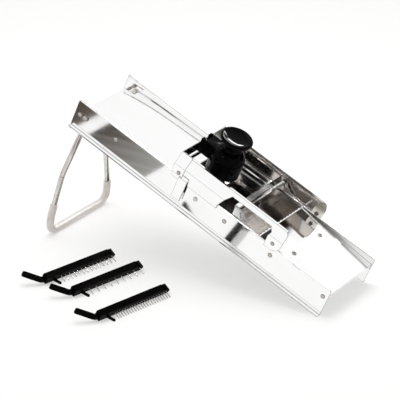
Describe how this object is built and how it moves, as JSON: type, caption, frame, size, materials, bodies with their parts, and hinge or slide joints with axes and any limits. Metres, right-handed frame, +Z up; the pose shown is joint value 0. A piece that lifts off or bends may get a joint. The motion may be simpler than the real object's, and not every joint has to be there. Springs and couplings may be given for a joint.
{
  "type": "chip slicer",
  "caption": "Sloping stainless steel slicer with side walls, two decks, a straight and a serrated blade, a sliding hand carriage with a round knob, a folding wire stand and loose combs.",
  "frame": {"origin": "under the middle of the whole set's bounding box, on the table", "axes": "+X along the slicer towards its low end, +Y across from the near wall to the far wall, +Z up"},
  "size_m": [0.4194, 0.2962, 0.1958],
  "materials": {
    "polished_steel": "mirror-polished stainless sheet",
    "satin_steel": "satin stainless steel",
    "blade_steel": "ground blade steel",
    "fastener_steel": "turned and domed",
    "pin_steel": "drawn wire",
    "wire_steel": "bright drawn wire",
    "clear_sleeve": "milky clear vinyl",
    "black_gloss_plastic": "glossy moulded black",
    "black_matte_plastic": "moulded black, slightly glossy",
    "white_nylon": "moulded nylon"
  },
  "bodies": {
    "frame": {"near_wall": "polished_steel", "far_wall": "polished_steel", "outlet_deck": "polished_steel", "outlet_brace": "satin_steel", "ring_rivets": "fastener_steel", "tie_rods": "satin_steel", "deck_hinge_rod": "satin_steel", "blade_holder": "satin_steel", "blade_clamp": "polished_steel", "straight_blade": "blade_steel", "serrated_blade": "blade_steel", "blade_screws": "fastener_steel", "blade_ledges": "satin_steel", "comb_channel": "satin_steel", "stand_stops": "satin_steel"},
    "inlet_deck": {"inlet_deck": "polished_steel"},
    "thickness_cam": {"cam_shaft": "satin_steel", "cams": "black_gloss_plastic", "cam_lever": "satin_steel", "lever_knob": "black_gloss_plastic"},
    "stand": {"stand_wire": "wire_steel", "stand_sleeve": "clear_sleeve", "stand_caps": "fastener_steel"},
    "carriage": {"near_cheek": "polished_steel", "far_cheek": "polished_steel", "end_plate": "polished_steel", "bridge": "polished_steel", "bridge_feet": "polished_steel", "slide_runners": "white_nylon", "runner_bolts": "fastener_steel", "end_plate_rivets": "fastener_steel", "guide_tabs": "polished_steel", "guide_rail": "satin_steel"},
    "pusher": {"pusher_body": "black_gloss_plastic", "pusher_knob": "black_gloss_plastic", "pusher_stud": "fastener_steel", "pusher_pins": "pin_steel"},
    "comb_1": {"comb_1_bar": "black_matte_plastic", "comb_1_pins_set": "pin_steel"},
    "comb_2": {"comb_2_bar": "black_matte_plastic", "comb_2_pins_set": "pin_steel"},
    "comb_3": {"comb_3_bar": "black_matte_plastic", "comb_3_pins_set": "pin_steel"}
  },
  "joints": [
    {"name": "deck_tilt", "type": "hinge", "parent": "frame", "child": "inlet_deck", "pos_m": [-0.15568, 0.08239, 0.17679], "axis": [0, -1, 0], "range_deg": [0, 1.5]},
    {"name": "cam_turn", "type": "hinge", "parent": "frame", "child": "thickness_cam", "pos_m": [0.01636, 0.08239, 0.10597], "axis": [0, 1, 0], "range_deg": [0, 82]},
    {"name": "stand_fold", "type": "hinge", "parent": "frame", "child": "stand", "pos_m": [-0.14727, 0.08239, 0.1743], "axis": [0, -1, 0], "range_deg": [0, 75]},
    {"name": "carriage_slide", "type": "slide", "parent": "frame", "child": "carriage", "axis": [-0.9157, 0, 0.4019], "range_m": [-0.07, 0.13]},
    {"name": "pusher_lift", "type": "slide", "parent": "carriage", "child": "pusher", "axis": [0.4019, 0, 0.9157], "range_m": [0, 0.03]},
    {"name": "comb_1_lift", "type": "slide", "parent": "frame", "child": "comb_1", "axis": [0, 0, 1], "range_m": [0, 0.06]},
    {"name": "comb_2_lift", "type": "slide", "parent": "frame", "child": "comb_2", "axis": [0, 0, 1], "range_m": [0, 0.06]},
    {"name": "comb_3_lift", "type": "slide", "parent": "frame", "child": "comb_3", "axis": [0, 0, 1], "range_m": [0, 0.06]}
  ],
  "couplings": [
    {"joint": "cam_turn", "follows": "deck_tilt", "ratio": 53.333}
  ]
}
